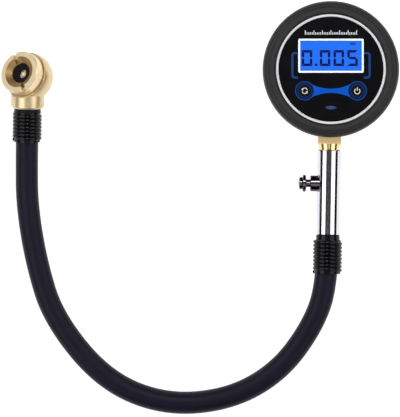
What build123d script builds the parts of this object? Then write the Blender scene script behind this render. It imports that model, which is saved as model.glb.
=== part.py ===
from build123d import *
import os
from math import cos, radians, sin, sqrt, tan

# A digital tyre pressure gauge: a round gauge head in a rubber boot, a chrome stem with a
# bleed valve, a rubber hose and a brass ball chuck. It lies on its back with the display up.
# Millimetres. The origin is on the table, under the middle of the gauge head, +Z is up,
# and the stem leaves the head towards -Y.

os.makedirs("parts", exist_ok=True)


# Boot and case
boot_wall = 4.0
boot_back_lip = 2.0
boot_back_reach = 3.5
boot_front_lip = 2.8
boot_lip_bevel = 0.9
boot_foot_radius = 2.5
boot_foot_bevel = 0.4
boot_shoulder_radius = 4.5
boot_groove_radius = 0.45
boot_groove_insets = (1.6, 3.4)
case_wall = 2.0
case_floor = 2.6
case_plate = 1.4
case_bevel = 0.6
case_shoulder = 2.0
board_seat_width = 1.2
board_seat_height = 2.0

# Bezel and face
bezel_width = 1.4
bezel_flange = 1.2
bezel_flange_thickness = 0.8
bezel_stand = 1.4
bezel_inner_bevel = 0.5
bezel_outer_round = 0.4
face_thickness = 1.0
print_thickness = 0.12
bracket_gap = 0.15
bracket_height = 14.7
bracket_reach = 3.7
bracket_stroke = 1.2
bracket_corner = 1.9
bracket_y = 2.1

# Display
window_width = 36.0
window_height = 18.7
window_corner = 0.8
window_y = 7.4
frame_border = 1.05
glass_sink = 0.2
glass_thickness = 2.6
lightbox_width = 38.4
lightbox_height = 18.5
lightbox_wall = 1.5
digit_width = 5.8
digit_height = 8.8
digit_stroke = 1.4
digit_row_x = -0.65
digit_row_y = -1.3
readout_margin = 1.53
point_room = 2.35
point_radius = 0.75
segment_gap = 0.08

# Keys, their light guide and the lamp
key_spacing = 28.9
key_y = -11.9
key_radius = 3.3
key_stand = 0.7
key_travel = 0.5
key_edge = 0.3
key_flange_radius = 4.3
key_flange_thickness = 0.75
switch_width = 6.0
switch_height = 4.0
plunger_radius = 1.75
plunger_height = 0.8
guide_ring_radius = 5.25
guide_stand = 0.15
band_end_height = 7.1
band_waist = 2.3
lens_length = 6.4
lens_width = 2.0
lens_step = 0.35
lens_inset = 7.7
lens_stand = 0.3
lens_edge = 0.24
lamp_length = 3.2
lamp_width = 1.6
lamp_height = 1.2

# Board, batteries and screws
board_thickness = 1.6
board_gap = 0.25
chip_width = 7.0
chip_height = 1.1
chip_gap = 0.7
cell_diameter = 10.5
cell_length = 44.5
cell_edge = 0.5
cell_nub_radius = 1.9
cell_nub_length = 1.0
cell_gap = 0.2
cell_lift = 0.05
bay_y = 2.5
bay_spare_length = 5.0
bay_room = 0.4
bay_wall = 1.2
contact_thickness = 0.4
contact_width = 7.0
contact_bow_height = 5.6
door_thickness = 1.6
door_seat = 1.0
door_corner = 1.5
door_rim = 1.0
tongue_width = 5.0
tongue_reach = 1.5
tongue_thickness = 0.7
tongue_x = 15.0
ear_radius = 3.6
ear_stand = 1.7
ear_boss_radius = 2.6
screw_inset = 6.9
screw_boss_radius = 3.5
screw_post_step = 0.5
screw_radius = 1.1
screw_sink = 0.3
screw_head_radius = 2.3
screw_head_height = 1.6
screw_tip_room = 0.5
recess_width = 0.6
recess_depth = 0.6
recess_reach = 0.6
door_screw_radius = 0.8
door_screw_length = 6.5
door_screw_sink = 0.1
door_screw_head_radius = 1.6
door_screw_head_height = 0.8

# Stem, measured along its axis from the middle of the head
stem_height = 18.0
stem_lean = 1.0
block_width = 12.7
block_sink = 1.0
block_length = 4.6
cone_length = 3.3
cone_radius = 5.6
block_edge = 0.4
port_thread_radius = 4.0
port_thread_spare = 1.0
port_collar_radius = 5.0
port_flat_depth = 0.5
port_pad_width = 15.0
port_pad_thickness = 3.5
nut_width = 11.5
nut_thickness = 3.0
sensor_radius = 5.5
sensor_length = 6.0
sensor_flange = 0.9
sensor_flange_thickness = 1.2
sensor_pin_radius = 0.35
sensor_pin_length = 3.0
sensor_pin_circle = 2.6
air_radius = 1.6
tube_radius = 6.6
tube_length = 47.1
tube_bevel = 0.5
tube_bore_radius = 3.5
spigot_radius = 4.5
spigot_length = 6.4
ring_thickness = 1.0
ring_place = 2.3
ring_groove_spare = 0.3

# Bleed valve, measured outwards from the stem's axis
valve_position = 18.6
valve_travel = 1.8
valve_boss_radius = 4.45
valve_boss_length = 3.65
valve_thread_radius = 3.0
valve_neck_radius = 2.15
valve_neck_length = 2.3
valve_flange_radius = 4.75
valve_flange_thickness = 1.9
valve_cap_radius = 3.45
valve_cap_length = 2.3
valve_cap_dome = 0.7
valve_edge = 0.4
valve_guide_depth = 0.9
valve_seat_wall = 1.0
valve_pin_radius = 0.9
valve_seat_radius = 1.5
valve_seal_thickness = 1.0
poppet_radius = 2.4
poppet_thickness = 1.2
valve_spring_radius = 1.3
valve_spring_wire = 0.4
valve_spring_turns = 4
valve_spring_sink = 1.0

# Hose and its ends
hose_radius = 6.2
hose_bore_radius = 3.2
hose_end_run = 24.0
bend_share = 0.45
barb_tail = 16.0
barb_plain = 2.0
barb_proud = 0.3
barb_count = 3
barb_rise = 0.8
sleeve_wall = 0.85
sleeve_end_wall = 2.5
sleeve_flare = 0.5
sleeve_flare_length = 6.0
sleeve_collar_radius = 6.55
gauge_rib_radius = 8.0
gauge_rib_count = 9
chuck_rib_radius = 7.95
chuck_rib_count = 8
rib_pitch = 2.08
rib_width = 1.6
rib_slant = 0.15

# Chuck: a ball that rests on the table, with its mouth turned away from the hose. The mouth's
# sizes are measured from the ball's middle, and the collar's from where its axis meets the mouth's.
ball_radius = 13.4
ball_x = -166.6
ball_y = -4.05
mouth_tilt = 36.0
mouth_heading = 153.0
chuck_rise = 0.8
chuck_slope = 9.4
chuck_lean = 1.0
collar_radius = 9.15
collar_end = 17.4
collar_chamfer = 1.0
washer_radius = 7.3
washer_thickness = 2.2
mouth_flat = 3.6
pocket_radius = 8.2
pocket_floor = 3.3
chamber_radius = 4.0
chamber_depth = 2.0
ring_radius = 11.9
ring_height = 6.6
ring_undercut = 0.8
ring_undercut_depth = 0.8
ring_edge = 0.5
ring_thread_radius = 9.6
ring_thread_length = 3.1
funnel_radius = 8.8
funnel_depth = 2.0
throat_radius = 5.7
slot_width = 2.4
slot_depth = 2.8
slot_heading = 117.0
gasket_thickness = 2.7
gasket_hole_radius = 2.6
gasket_bevel = 0.5
pin_plate_thickness = 1.2
pin_radius = 1.5
pin_bevel = 0.3
pin_dimple_radius = 0.5
pin_recess = 1.8
vent_radius = 0.45
vent_count = 6

# Clearances, and how far a cut runs that goes right through
fit = 0.1
loose_fit = 0.2
cut_reach = 30.0

# Battery bay, and the widths that grow outwards from it to the boot
bay_length = cell_length + bay_spare_length
bay_width = 2 * cell_diameter + cell_gap + 2 * bay_room
bay_top = door_thickness + cell_diameter + bay_room
cell_height = door_thickness + cell_diameter / 2 + cell_lift
cell_offset = (cell_diameter + cell_gap) / 2
door_length = bay_length + 2 * door_seat
door_width = bay_width + 2 * door_seat
door_edge = bay_y - door_width / 2
door_corner_x = door_length / 2 - door_corner
door_corner_y = bay_y + door_width / 2 - door_corner
ear_y = bay_y + bay_width / 2 + bay_wall + ear_stand
back_opening_radius = sqrt(door_corner_x**2 + door_corner_y**2) + door_corner + door_rim
case_radius = back_opening_radius + boot_back_reach
case_bore_radius = case_radius - case_wall
boot_radius = case_radius + boot_wall
flange_radius = case_radius - case_shoulder
bezel_outer_radius = flange_radius - bezel_flange
bezel_inner_radius = bezel_outer_radius - bezel_width
lens_y = lens_inset - bezel_inner_radius

# Heights through the gauge head, from the table up. The case back is flush with the boot.
case_split = stem_height + nut_width / 2 + board_gap
board_top = case_split + board_thickness
switch_top = board_top + switch_height
key_bottom = switch_top + key_travel + fit
plate_bottom = key_bottom + key_flange_thickness + fit / 2
plate_top = plate_bottom + case_plate
face_top = plate_top + face_thickness
bezel_top = face_top + bezel_stand
boot_top = plate_top + bezel_flange_thickness + boot_front_lip
glass_top = face_top - glass_sink
lightbox_top = glass_top - glass_thickness

# Places of the keys, and of the screws, which stand clear of the display's light box
key_places = [(-key_spacing / 2, key_y), (key_spacing / 2, key_y)]
screw_post_radius = screw_boss_radius - screw_post_step
screw_y = window_y + lightbox_height / 2 + screw_post_radius + loose_fit
screw_x = sqrt((case_radius - screw_inset) ** 2 - screw_y**2)
chip_x = screw_x - screw_post_radius - chip_gap - chip_width / 2

# Places along the stem
case_face = case_radius - port_flat_depth
pad_face = case_face - port_pad_thickness
port_end = pad_face - nut_thickness - port_thread_spare
block_start = boot_radius - block_sink
block_end = block_start + block_length
tube_start = block_end + cone_length
tube_end = tube_start + tube_length
hose_start = tube_end + sleeve_end_wall

# Places along the chuck's axis
chuck_sleeve_start = collar_end + washer_thickness
chuck_hose_start = chuck_sleeve_start + sleeve_end_wall

# The stem's axis lies level and leans a little from -Y towards -X
stem_direction = Vector(-sin(radians(stem_lean)), -cos(radians(stem_lean)), 0)
stem_side = Vector(cos(radians(stem_lean)), -sin(radians(stem_lean)), 0)
stem_middle = Vector(0, 0, stem_height)
stem_axis = Axis(stem_middle, stem_direction)
stem_profile = Plane(stem_middle, x_dir=stem_direction, z_dir=(0, 0, 1))

# The bleed valve points square to the stem, towards -X
valve_middle = stem_middle + stem_direction * (tube_start + valve_position)
valve_direction = stem_side * -1
valve_axis = Axis(valve_middle, valve_direction)
valve_profile = Plane(valve_middle, x_dir=valve_direction, z_dir=(0, 0, 1))

# The mouth's axis points up from the ball and away from the hose
tilt, heading = radians(mouth_tilt), radians(mouth_heading)
ball_middle = Vector(ball_x, ball_y, ball_radius)
mouth_direction = Vector(sin(tilt) * cos(heading), sin(tilt) * sin(heading), cos(tilt))
slot_level = Vector(cos(radians(slot_heading)), sin(radians(slot_heading)), 0)
slot_direction = (slot_level - mouth_direction * slot_level.dot(mouth_direction)).normalized()
mouth_axis = Axis(ball_middle, mouth_direction)
mouth_profile = Plane(ball_middle, x_dir=mouth_direction, z_dir=slot_direction)

# The chuck's axis starts on the mouth's axis and runs down to the hose
slope, lean = radians(chuck_slope), radians(chuck_lean)
chuck_middle = ball_middle + mouth_direction * chuck_rise
chuck_direction = Vector(-sin(lean) * cos(slope), -cos(lean) * cos(slope), -sin(slope))
chuck_side = Vector(cos(lean), -sin(lean), 0)
chuck_axis = Axis(chuck_middle, chuck_direction)
chuck_profile = Plane(chuck_middle, x_dir=chuck_direction, z_dir=chuck_side)


def along_stem(distance):
    """The plane square to the stem at a distance from the middle of the head."""
    return Plane(stem_middle + stem_direction * distance, x_dir=stem_side, z_dir=stem_direction)


def along_valve(distance):
    """The plane square to the bleed valve at a distance from the stem's axis."""
    return Plane(valve_middle + valve_direction * distance, x_dir=stem_direction, z_dir=valve_direction)


def along_chuck(distance):
    """The plane square to the chuck's axis at a distance from the mouth's axis."""
    return Plane(chuck_middle + chuck_direction * distance, x_dir=chuck_side, z_dir=chuck_direction)


def along_mouth(distance):
    """The plane square to the mouth's axis at a distance from the middle of the ball."""
    return Plane(ball_middle + mouth_direction * distance, x_dir=slot_direction, z_dir=mouth_direction)


def outline(*points):
    """A closed face through points in the sketch that is open."""
    with BuildLine() as edge:
        Polyline(*points, close=True)
    make_face(edge.edges())


# Rubber boot: a moulded cup that grips the case, open at the back over the battery door
lip_inner_radius = bezel_outer_radius + fit
lip_bottom = boot_top - boot_front_lip
shoulder_radius = boot_radius - boot_shoulder_radius
shoulder_height = boot_top - boot_shoulder_radius
with BuildPart() as rubber_boot:
    with BuildSketch(Plane.XZ):
        with BuildLine():
            foot = Polyline(
                (back_opening_radius, boot_back_lip),
                (back_opening_radius, boot_foot_bevel),
                (back_opening_radius + boot_foot_bevel, 0),
                (boot_radius - boot_foot_radius, 0),
            )
            side_start = (boot_radius, boot_foot_radius)
            RadiusArc(foot @ 1, side_start, -boot_foot_radius)
            side = Line(side_start, (boot_radius, shoulder_height))
            shoulder_end = (shoulder_radius, boot_top)
            RadiusArc(side @ 1, shoulder_end, -boot_shoulder_radius)
            Polyline(
                shoulder_end,
                (lip_inner_radius + boot_lip_bevel, boot_top),
                (lip_inner_radius, boot_top - boot_lip_bevel),
                (lip_inner_radius, lip_bottom),
                (flange_radius + fit, lip_bottom),
                (flange_radius + fit, plate_top),
                (case_radius, plate_top),
                (case_radius, boot_back_lip),
                (back_opening_radius, boot_back_lip),
            )
        make_face()
    revolve(axis=Axis.Z)
    with BuildSketch(Plane.XZ):
        for inset in boot_groove_insets:
            groove_x = boot_radius - inset
            rise = sqrt(boot_shoulder_radius**2 - (groove_x - shoulder_radius) ** 2)
            with Locations((groove_x, shoulder_height + rise)):
                Circle(boot_groove_radius)
    revolve(axis=Axis.Z, mode=Mode.SUBTRACT)
    with BuildSketch(along_stem(case_radius - boot_wall)):
        Circle(port_collar_radius + loose_fit)
    extrude(amount=cut_reach, mode=Mode.SUBTRACT)
    with BuildSketch(along_stem(block_start - loose_fit)):
        Rectangle(block_width + 2 * loose_fit, block_width + 2 * loose_fit)
    extrude(amount=cut_reach, mode=Mode.SUBTRACT)


def door_outline(gap):
    """The battery door's outline with its screw ear, grown by a gap."""
    with Locations((0, bay_y)):
        RectangleRounded(door_length + 2 * gap, door_width + 2 * gap, door_corner + gap)
    with Locations((0, ear_y)):
        Circle(ear_radius + gap)


def tongue_places():
    """The middles of the battery door's two tongues."""
    return Locations((-tongue_x, door_edge - tongue_reach / 2), (tongue_x, door_edge - tongue_reach / 2))


def screw_places():
    """The four places of the case screws."""
    return GridLocations(2 * screw_x, 2 * screw_y, 2, 2)


# Rear case: the back shell with the battery bay, the screw bosses and the seat of the port
with BuildPart() as rear_case:
    with BuildSketch(Plane.XY):
        Circle(back_opening_radius - loose_fit)
    extrude(amount=boot_back_lip)
    chamfer(rear_case.edges().group_by(Axis.Z)[0], boot_foot_bevel)
    with BuildSketch(Plane.XY.offset(boot_back_lip)):
        Circle(case_radius)
    extrude(amount=case_split - boot_back_lip)
    with BuildSketch(Plane.XY.offset(case_floor)):
        Circle(case_bore_radius)
    extrude(amount=case_split - case_floor, mode=Mode.SUBTRACT)
    with BuildSketch(Plane.XY.offset(case_split - board_seat_height)):
        Circle(case_bore_radius)
        Circle(case_bore_radius - board_seat_width, mode=Mode.SUBTRACT)
    extrude(amount=board_seat_height)
    with BuildSketch(Plane.XY.offset(case_floor)):
        with screw_places():
            Circle(screw_boss_radius)
    extrude(amount=case_split - case_floor)
    with BuildSketch(Plane.XY.offset(case_floor)):
        with Locations((0, bay_y)):
            Rectangle(bay_length + 2 * bay_wall, bay_width + 2 * bay_wall)
    extrude(amount=bay_top + bay_wall - case_floor)
    with BuildSketch(Plane.XY.offset(case_floor)):
        with Locations((0, ear_y)):
            Circle(ear_boss_radius)
    extrude(amount=door_screw_length)
    with BuildSketch(along_stem(pad_face)):
        Rectangle(port_pad_width, nut_width)
    extrude(amount=port_pad_thickness - case_wall / 2)
    # the bay, the door's seat, its tongues' slots and its screw hole
    with BuildSketch(Plane.XY):
        with Locations((0, bay_y)):
            Rectangle(bay_length, bay_width)
    extrude(amount=bay_top, mode=Mode.SUBTRACT)
    with BuildSketch(Plane.XY):
        door_outline(loose_fit)
    extrude(amount=door_thickness, mode=Mode.SUBTRACT)
    with BuildSketch(Plane.XY.offset(door_thickness - tongue_thickness - fit)):
        with tongue_places():
            Rectangle(tongue_width + 2 * loose_fit, tongue_reach + 2 * loose_fit)
    extrude(amount=tongue_thickness + 2 * fit, mode=Mode.SUBTRACT)
    with BuildSketch(Plane.XY.offset(door_thickness)):
        with Locations((0, ear_y)):
            Circle(door_screw_radius)
    extrude(amount=door_screw_length - door_thickness, mode=Mode.SUBTRACT)
    # counterbored screw holes
    with Locations(Plane(origin=(0, 0, 0), z_dir=(0, 0, -1))):
        with screw_places():
            CounterBoreHole(
                screw_radius + loose_fit, screw_head_radius + loose_fit, screw_head_height + screw_sink
            )
    # the port's hole and its flat outside
    with BuildSketch(along_stem(pad_face - fit)):
        Circle(port_thread_radius + fit)
    extrude(amount=cut_reach, mode=Mode.SUBTRACT)
    with BuildSketch(along_stem(case_face)):
        Circle(port_collar_radius + loose_fit)
    extrude(amount=case_wall, mode=Mode.SUBTRACT)


def window_outline(gap):
    """The display window's rounded outline, grown by a gap."""
    with Locations((0, window_y)):
        RectangleRounded(window_width + 2 * gap, window_height + 2 * gap, window_corner)


def guide_outline():
    """Two rings round the keys, joined by a band with a narrow waist."""
    band_end_x = key_spacing / 2 - sqrt(guide_ring_radius**2 - (band_end_height / 2) ** 2)
    with BuildLine() as edge:
        top = ThreePointArc(
            (-band_end_x, key_y + band_end_height / 2),
            (0, key_y + band_waist / 2),
            (band_end_x, key_y + band_end_height / 2),
        )
        bottom = ThreePointArc(
            (-band_end_x, key_y - band_end_height / 2),
            (0, key_y - band_waist / 2),
            (band_end_x, key_y - band_end_height / 2),
        )
        Line(top @ 0, bottom @ 0)
        Line(top @ 1, bottom @ 1)
    make_face(edge.edges())
    with Locations(key_places):
        Circle(guide_ring_radius)


# Front case: the front shell, whose plate carries the face, the keys and the bezel
with BuildPart() as front_case:
    with BuildSketch(Plane.XY.offset(case_split)):
        Circle(case_radius)
    extrude(amount=plate_top - case_split)
    chamfer(front_case.edges().group_by(Axis.Z)[-1], case_bevel)
    with BuildSketch(Plane.XY.offset(case_split)):
        Circle(case_bore_radius)
    extrude(amount=plate_bottom - case_split, mode=Mode.SUBTRACT)
    with BuildSketch(Plane.XY.offset(board_top)):
        with screw_places():
            Circle(screw_post_radius)
    extrude(amount=plate_bottom - board_top)
    with BuildSketch(Plane.XY.offset(board_top)):
        with screw_places():
            Circle(screw_radius)
    extrude(amount=plate_bottom - board_top - screw_tip_room, mode=Mode.SUBTRACT)
    with BuildSketch(Plane.XY.offset(plate_bottom)):
        window_outline(fit)
        with Locations(key_places):
            Circle(key_radius + fit)
        with Locations((0, lens_y)):
            Ellipse(lens_length / 2 - lens_step, lens_width / 2 - lens_step)
    extrude(amount=case_plate, mode=Mode.SUBTRACT)

# Bezel: the silver ring round the face, held down by the boot's lip on its flange
with BuildPart() as bezel_ring:
    with BuildSketch(Plane.XZ):
        with BuildLine():
            ring = Polyline(
                (bezel_outer_radius - bezel_outer_round, bezel_top),
                (bezel_inner_radius + bezel_inner_bevel, bezel_top),
                (bezel_inner_radius, bezel_top - bezel_inner_bevel),
                (bezel_inner_radius, plate_top),
                (flange_radius, plate_top),
                (flange_radius, plate_top + bezel_flange_thickness),
                (bezel_outer_radius, plate_top + bezel_flange_thickness),
                (bezel_outer_radius, bezel_top - bezel_outer_round),
            )
            RadiusArc(ring @ 1, ring @ 0, -bezel_outer_round)
        make_face()
    revolve(axis=Axis.Z)

# Face panel: a black disc with openings for the display, the light guide and the lens
with BuildPart() as face_panel:
    with BuildSketch(Plane.XY.offset(plate_top)):
        Circle(bezel_inner_radius)
    extrude(amount=face_thickness)
    with BuildSketch(Plane.XY.offset(plate_top)):
        window_outline(0)
        guide_outline()
        with Locations((0, lens_y)):
            Ellipse(lens_length / 2, lens_width / 2)
    extrude(amount=face_thickness, mode=Mode.SUBTRACT)

# Light guide: the blue translucent moulding round both keys, a little proud of the face
with BuildPart() as light_guide:
    with BuildSketch(Plane.XY.offset(plate_top)):
        guide_outline()
        with Locations(key_places):
            Circle(key_radius + fit, mode=Mode.SUBTRACT)
    extrude(amount=face_thickness + guide_stand)

# Face brackets: a printed bracket on each side of the display
bracket_spread = window_width + 2 * (bracket_gap + bracket_reach)
with BuildPart() as face_brackets:
    with BuildSketch(Plane.XY.offset(face_top)):
        with Locations((0, bracket_y)):
            RectangleRounded(bracket_spread, bracket_height, bracket_corner)
            RectangleRounded(
                bracket_spread - 2 * bracket_stroke,
                bracket_height - 2 * bracket_stroke,
                bracket_corner - bracket_stroke,
                mode=Mode.SUBTRACT,
            )
            Rectangle(bracket_spread - 2 * bracket_reach, bracket_height, mode=Mode.SUBTRACT)
    extrude(amount=print_thickness)

# Display frame: the pale mask round the display, lying on the edge of the glass
with BuildPart() as display_frame:
    with BuildSketch(Plane.XY.offset(glass_top)):
        window_outline(0)
        with Locations((0, window_y)):
            Rectangle(
                window_width - 2 * frame_border,
                window_height - 2 * frame_border,
                mode=Mode.SUBTRACT,
            )
    extrude(amount=glass_sink + fit)

# Display glass: the liquid crystal cell, through the case plate and the face
with BuildPart() as display_glass:
    with BuildSketch(Plane.XY.offset(lightbox_top)):
        window_outline(-loose_fit)
    extrude(amount=glass_thickness)

# Display light box: the moulded light box that stands on the board under the glass
with BuildPart() as display_light_box:
    with BuildSketch(Plane.XY.offset(board_top)):
        with Locations((0, window_y)):
            Rectangle(lightbox_width, lightbox_height)
    extrude(amount=lightbox_top - board_top)
    with BuildSketch(Plane.XY.offset(board_top)):
        with Locations((0, window_y)):
            Rectangle(lightbox_width - 2 * lightbox_wall, lightbox_height - 2 * lightbox_wall)
    extrude(amount=(lightbox_top - board_top) / 2, mode=Mode.SUBTRACT)


def lit_segments(digit):
    """Which of the seven segments a digit lights, named by the clock place of each."""
    return {
        "0": ("top", "upper left", "upper right", "lower left", "lower right", "bottom"),
        "5": ("top", "upper left", "middle", "lower right", "bottom"),
    }[digit]


readout_y = window_y + digit_row_y


def segment_end(half_length, end_sign, outward, at_corner):
    """The outline's points at one end of a segment: mitred at a corner, else pointed."""
    half_stroke = digit_stroke / 2
    tip, inner = end_sign * half_length, end_sign * (half_length - half_stroke)
    if at_corner:
        outer = end_sign * (half_length + half_stroke)
        return [(outer, outward * half_stroke), (inner, -outward * half_stroke)]
    return [(inner, outward * half_stroke), (tip, 0), (inner, -outward * half_stroke)]


def segment(name, middle_x):
    """One of the seven segments of the digit round middle_x."""
    half_bar = (digit_width - digit_stroke) / 2
    half_post = (digit_height - digit_stroke) / 4
    upright = "left" in name or "right" in name
    half_length = (half_post if upright else half_bar) - segment_gap
    outward = -1 if name == "bottom" or "right" in name else 1
    shift_x = half_bar * (("right" in name) - ("left" in name))
    shift_y = 2 * half_post * ((name == "top") - (name == "bottom"))
    shift_y += half_post * (("upper" in name) - ("lower" in name))
    place = (middle_x + shift_x, readout_y + shift_y, 0)
    near_corner = name in ("top", "bottom")
    last_points = segment_end(half_length, 1, outward, near_corner or "upper" in name)
    first_points = segment_end(half_length, -1, outward, near_corner or "lower" in name)
    with Locations(Location(place, (0, 0, 90 * upright))):
        Polygon(*last_points, *reversed(first_points), align=None)


# Display segments: the readout, a zero, a point and three more digits
readout_width = window_width - 2 * (frame_border + readout_margin)
digit_pitch = (readout_width - digit_width - point_room) / 3
first_digit_x = digit_row_x - 1.5 * digit_pitch - point_room / 2
point_x = first_digit_x + (digit_pitch + point_room) / 2
with BuildPart() as display_segments:
    with BuildSketch(Plane.XY.offset(glass_top)):
        for place, digit in enumerate("0005"):
            digit_x = first_digit_x + place * digit_pitch + (point_room if place > 0 else 0)
            for name in lit_segments(digit):
                segment(name, digit_x)
        with Locations((point_x, readout_y - (digit_height - digit_stroke) / 2)):
            Circle(point_radius)
    extrude(amount=print_thickness)

# Main board with its keys' switches, its lamp and its driver chip
with BuildPart() as main_board:
    with BuildSketch(Plane.XY.offset(case_split)):
        Circle(case_bore_radius - loose_fit)
        with screw_places():
            Circle(screw_radius + loose_fit, mode=Mode.SUBTRACT)
    extrude(amount=board_thickness)

with BuildPart() as key_switches:
    with BuildSketch(Plane.XY.offset(board_top)):
        with Locations(key_places):
            Rectangle(switch_width, switch_width)
    extrude(amount=switch_height - plunger_height)
    with BuildSketch(Plane.XY.offset(switch_top - plunger_height)):
        with Locations(key_places):
            Circle(plunger_radius)
    extrude(amount=plunger_height)

with BuildPart() as driver_chip:
    with BuildSketch(Plane.XY.offset(board_top)):
        with Locations((chip_x, lens_y)):
            Rectangle(chip_width, chip_width)
    extrude(amount=chip_height)

with BuildPart() as status_lamp:
    with BuildSketch(Plane.XY.offset(board_top)):
        with Locations((0, lens_y)):
            Rectangle(lamp_length, lamp_width)
    extrude(amount=lamp_height)

# Status lens: a blue light pipe from the lamp to the face
with BuildPart() as status_lens:
    with BuildSketch(Plane.XY.offset(board_top + lamp_height + fit)):
        with Locations((0, lens_y)):
            Ellipse(lens_length / 2 - lens_step, lens_width / 2 - lens_step)
    extrude(amount=plate_top - board_top - lamp_height - fit)
    with BuildSketch(Plane.XY.offset(plate_top)):
        with Locations((0, lens_y)):
            Ellipse(lens_length / 2, lens_width / 2)
    extrude(amount=face_thickness + lens_stand)
    fillet(status_lens.faces().sort_by(Axis.Z)[-1].edges(), lens_edge)


def round_key(place):
    """A key cap with the flange that holds it under the case plate."""
    with BuildPart() as key:
        with BuildSketch(Plane.XY.offset(key_bottom)):
            with Locations(place):
                Circle(key_flange_radius)
        extrude(amount=key_flange_thickness)
        with BuildSketch(Plane.XY.offset(key_bottom + key_flange_thickness)):
            with Locations(place):
                Circle(key_radius)
        extrude(amount=face_top + key_stand - key_bottom - key_flange_thickness)
        fillet(key.faces().sort_by(Axis.Z)[-1].edges(), key_edge)
    return key


mode_key = round_key(key_places[0])
power_key = round_key(key_places[1])

# Battery door: a plate with two tongues, and an ear for its screw
door_screw_neck = door_screw_sink + door_screw_head_height
with BuildPart() as battery_door:
    with BuildSketch(Plane.XY):
        door_outline(0)
    extrude(amount=door_thickness)
    with BuildSketch(Plane.XY.offset(door_thickness - tongue_thickness)):
        with tongue_places():
            Rectangle(tongue_width, tongue_reach)
    extrude(amount=tongue_thickness)
    with BuildSketch(Plane.XY):
        with Locations((0, ear_y)):
            Circle(door_screw_radius + loose_fit)
    extrude(amount=door_thickness, mode=Mode.SUBTRACT)
    with BuildSketch(Plane.XY):
        with Locations((0, ear_y)):
            Circle(door_screw_head_radius + loose_fit)
    extrude(amount=door_screw_neck, mode=Mode.SUBTRACT)


def cross_recess(head_radius):
    """The screwdriver's cross in a screw head."""
    Rectangle(2 * recess_reach * head_radius, recess_width)
    Rectangle(recess_width, 2 * recess_reach * head_radius)


with BuildPart() as door_screw:
    with BuildSketch(Plane.XY.offset(door_screw_sink)):
        with Locations((0, ear_y)):
            Circle(door_screw_head_radius)
    extrude(amount=door_screw_head_height)
    with BuildSketch(Plane.XY.offset(door_screw_neck)):
        with Locations((0, ear_y)):
            Circle(door_screw_radius)
    extrude(amount=door_screw_length - door_screw_neck - screw_tip_room)
    with BuildSketch(Plane.XY.offset(door_screw_sink)):
        with Locations((0, ear_y)):
            cross_recess(door_screw_head_radius)
    extrude(amount=recess_depth, mode=Mode.SUBTRACT)

screw_neck = screw_sink + screw_head_height
with BuildPart() as case_screws:
    with BuildSketch(Plane.XY.offset(screw_sink)):
        with screw_places():
            Circle(screw_head_radius)
    extrude(amount=screw_head_height)
    with BuildSketch(Plane.XY.offset(screw_neck)):
        with screw_places():
            Circle(screw_radius)
    extrude(amount=plate_bottom - 2 * screw_tip_room - screw_neck)
    with BuildSketch(Plane.XY.offset(screw_sink)):
        with screw_places():
            cross_recess(screw_head_radius)
    extrude(amount=recess_depth, mode=Mode.SUBTRACT)


def battery_cell(end_sign):
    """A dry cell lying along X, its nub towards the end that the sign gives."""
    nub_tip = end_sign * (bay_length / 2 - contact_thickness)
    cell_y = bay_y + end_sign * cell_offset
    body_plane = Plane((nub_tip, cell_y, cell_height), z_dir=(-end_sign, 0, 0))
    with BuildPart() as cell:
        with BuildSketch(body_plane):
            Circle(cell_nub_radius)
        extrude(amount=cell_nub_length)
        with BuildSketch(body_plane.offset(cell_nub_length)):
            Circle(cell_diameter / 2)
        extrude(amount=cell_length - cell_nub_length)
        chamfer(cell.edges().filter_by(GeomType.CIRCLE).group_by(SortBy.RADIUS)[-1], cell_edge)
    return cell


upper_cell = battery_cell(1)
lower_cell = battery_cell(-1)

# Battery contacts: a plate at each end of each cell, bowed into a spring at the flat end
bow_reach = bay_spare_length - 2 * contact_thickness
bow_inner_height = contact_bow_height - 3 * contact_thickness
with BuildPart() as battery_contacts:
    for end_sign in (-1, 1):
        for row_sign in (-1, 1):
            contact_x = end_sign * bay_length / 2
            contact_plane = Plane(
                (contact_x, bay_y + row_sign * cell_offset - contact_width / 2, cell_height),
                x_dir=(-end_sign, 0, 0),
                z_dir=(0, 1, 0),
            )
            with BuildSketch(contact_plane):
                with Locations((contact_thickness / 2, 0)):
                    Rectangle(contact_thickness, contact_width)
                if row_sign != end_sign:
                    with BuildLine():
                        outer = ThreePointArc(
                            (contact_thickness, -contact_bow_height / 2),
                            (contact_thickness + bow_reach, 0),
                            (contact_thickness, contact_bow_height / 2),
                        )
                        inner = ThreePointArc(
                            (contact_thickness, -bow_inner_height / 2),
                            (bow_reach, 0),
                            (contact_thickness, bow_inner_height / 2),
                        )
                        Line(outer @ 0, inner @ 0)
                        Line(outer @ 1, inner @ 1)
                    make_face()
            extrude(amount=contact_width)

# Gauge port: the brass fitting that joins the stem to the sensor, with a square for a spanner
groove_start = tube_start + ring_place
groove_end = groove_start + ring_thickness + ring_groove_spare
with BuildPart() as gauge_port:
    with BuildSketch(stem_profile):
        outline(
            (port_end, air_radius),
            (port_end, port_thread_radius),
            (case_face, port_thread_radius),
            (case_face, port_collar_radius),
            (block_start, port_collar_radius),
            (block_start, block_width / 2),
            (block_end, block_width / 2),
            (tube_start - block_edge, cone_radius),
            (tube_start, cone_radius),
            (tube_start, spigot_radius),
            (groove_start, spigot_radius),
            (groove_start, spigot_radius - ring_thickness),
            (groove_end, spigot_radius - ring_thickness),
            (groove_end, spigot_radius),
            (tube_start + spigot_length, spigot_radius),
            (tube_start + spigot_length, air_radius),
        )
    revolve(axis=stem_axis)
    with BuildSketch(along_stem(block_start)):
        RectangleRounded(block_width, block_width, block_edge)
        Circle(port_thread_radius, mode=Mode.SUBTRACT)
    extrude(amount=block_length)

with BuildPart() as port_nut:
    with BuildSketch(along_stem(pad_face - nut_thickness)):
        RegularPolygon(nut_width / 2, 6, major_radius=False)
        Circle(port_thread_radius, mode=Mode.SUBTRACT)
    extrude(amount=nut_thickness)

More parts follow.
